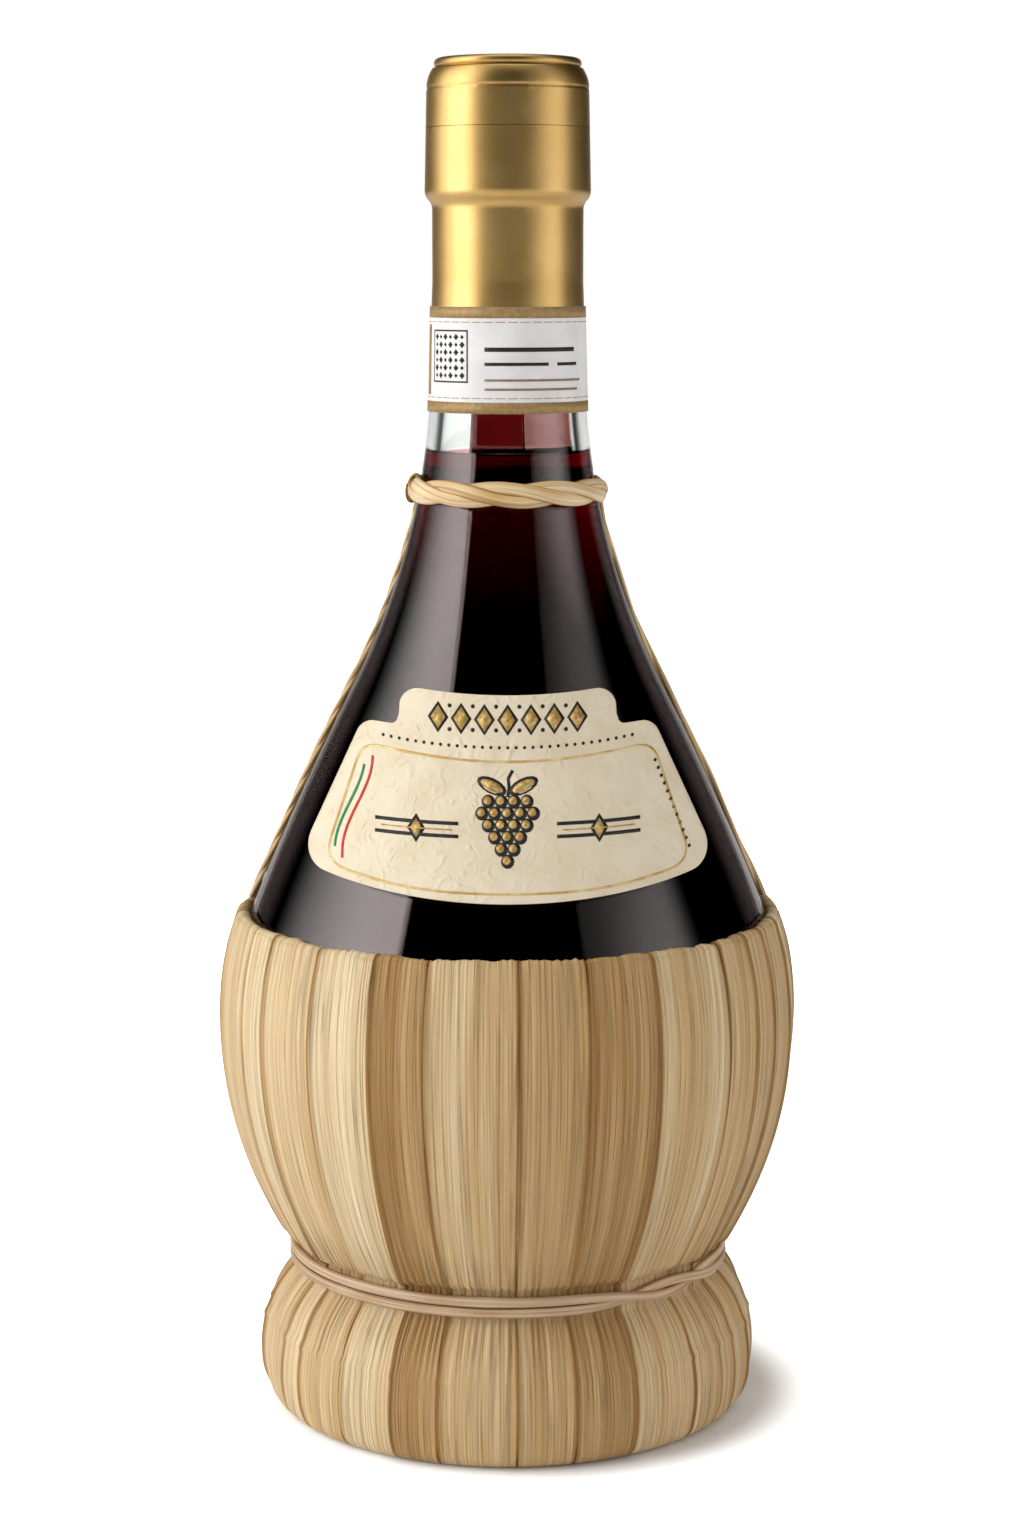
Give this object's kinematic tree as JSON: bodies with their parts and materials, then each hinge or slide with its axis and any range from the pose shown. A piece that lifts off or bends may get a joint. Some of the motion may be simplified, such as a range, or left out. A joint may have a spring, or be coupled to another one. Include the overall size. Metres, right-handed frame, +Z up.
{
  "type": "straw-covered wine flask",
  "caption": "Round-bottomed wine flask in a straw basket with a doughnut foot, carrying straps, label, cork and metal capsule.",
  "frame": {"origin": "middle of the straw foot's underside, on the surface that the flask stands on", "axes": "+Z up along the flask's axis; the front label faces -Y; +X is to the right of the label"},
  "size_m": [0.1116, 0.1116, 0.2605],
  "materials": {
    "flask_glass": "clear, blown, fire polished",
    "red_wine": "dark red liquid",
    "cork": "natural cork",
    "capsule_foil": "satin gold lacquer",
    "strip_paper": "printed paper with gold borders",
    "label_paper": "cream embossed paper with a gold line",
    "twisted_raffia": "twisted straw, silky",
    "reed_core": "plain reed",
    "straw_core": "bound straw",
    "cane_tie": "pale split cane",
    "rush_blade": "dried rush, ribbed"
  },
  "bodies": {
    "bottle": {"blade_01": "rush_blade", "blade_02": "rush_blade", "blade_03": "rush_blade", "blade_04": "rush_blade", "blade_05": "rush_blade", "blade_06": "rush_blade", "blade_07": "rush_blade", "blade_08": "rush_blade", "blade_09": "rush_blade", "blade_10": "rush_blade", "blade_11": "rush_blade", "blade_12": "rush_blade", "blade_13": "rush_blade", "blade_14": "rush_blade", "blade_15": "rush_blade", "blade_16": "rush_blade", "blade_17": "rush_blade", "blade_18": "rush_blade", "blade_19": "rush_blade", "blade_20": "rush_blade", "blade_21": "rush_blade", "blade_22": "rush_blade", "blade_23": "rush_blade", "blade_24": "rush_blade", "blade_25": "rush_blade", "blade_26": "rush_blade", "capsule_skirt": "capsule_foil", "foot_ring": "straw_core", "front_label": "label_paper", "glass_flask": "flask_glass", "neck_collar": "twisted_raffia", "rim_hoop": "reed_core", "seal_strip": "strip_paper", "strap_left": "twisted_raffia", "strap_right": "twisted_raffia", "waist_tie": "cane_tie", "wine": "red_wine"},
    "cork": {"cork_stopper": "cork"},
    "capsule_top": {"capsule_cap": "capsule_foil", "capsule_disc": "capsule_foil"}
  },
  "joints": [
    {"name": "cork_pull", "type": "slide", "parent": "bottle", "child": "cork", "axis": [0, 0, 1], "range_m": [0, 0.042]},
    {"name": "capsule_lift", "type": "slide", "parent": "cork", "child": "capsule_top", "axis": [0, 0, 1], "range_m": [0, 0.016]}
  ]
}
